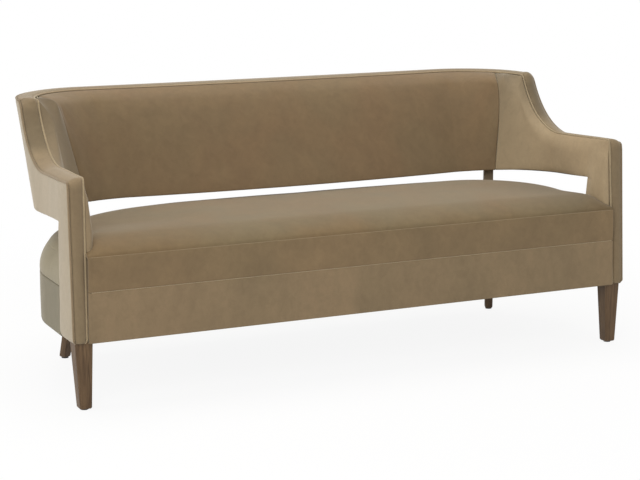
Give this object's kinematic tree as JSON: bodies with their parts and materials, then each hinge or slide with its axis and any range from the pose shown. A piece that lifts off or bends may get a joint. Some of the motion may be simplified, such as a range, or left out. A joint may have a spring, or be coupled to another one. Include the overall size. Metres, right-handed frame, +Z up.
{
  "type": "upholstered loveseat",
  "caption": "Tight-seat loveseat with a raked back that wraps into low swooping arms on front stiles, open between seat and back, with piped edges and tapered wooden legs.",
  "frame": {"origin": "on the floor, under the middle of the outline", "axes": "+X to the right as seen from the front, along the seat; +Y to the rear; +Z up"},
  "size_m": [1.83, 0.7949, 0.8235],
  "materials": {
    "velvet": "short-pile velvet in taupe",
    "piping": "velvet-covered cord",
    "walnut": "satin stained hardwood",
    "frame_wood": "bare sawn hardwood and plywood",
    "foam": "open-cell foam",
    "steel": "zinc-plated",
    "lining": "black non-woven cloth",
    "webbing": "woven jute",
    "glide": "hard plastic"
  },
  "bodies": {
    "root": {"front_leg_left": "walnut", "front_leg_right": "walnut", "rear_leg_left": "walnut", "rear_leg_right": "walnut", "glides": "glide", "leg_bolts": "steel", "post_bolts": "steel", "rear_post_left": "walnut", "rear_post_right": "walnut", "front_rail": "frame_wood", "side_rail_left": "frame_wood", "side_rail_right": "frame_wood", "rear_rail": "frame_wood", "stretchers": "frame_wood", "corner_blocks": "frame_wood", "seat_springs": "steel", "spring_clips": "steel", "spring_cover": "lining", "seat_foam": "foam", "seat_top": "velvet", "boxing_front": "velvet", "boxing_surround": "velvet", "lower_band_front": "velvet", "lower_band_surround": "velvet", "dust_cover": "lining", "stile_post_left": "frame_wood", "stile_post_right": "frame_wood", "arm_frame_left": "frame_wood", "arm_frame_right": "frame_wood", "back_top_rail": "frame_wood", "back_bottom_rail": "frame_wood", "back_uprights": "frame_wood", "back_webbing": "webbing", "back_foam": "foam", "arm_foam_left": "foam", "arm_foam_right": "foam", "inside_back": "velvet", "inside_arm_left": "velvet", "inside_arm_right": "velvet", "outside_back": "velvet", "outside_arm_left": "velvet", "outside_arm_right": "velvet", "underside_strip": "lining", "back_border": "velvet", "arm_border_left": "velvet", "arm_border_right": "velvet", "inner_welt_back": "piping", "outer_welt_back": "piping", "inner_welt_left": "piping", "inner_welt_right": "piping", "outer_welt_left": "piping", "outer_welt_right": "piping"}
  },
  "joints": []
}
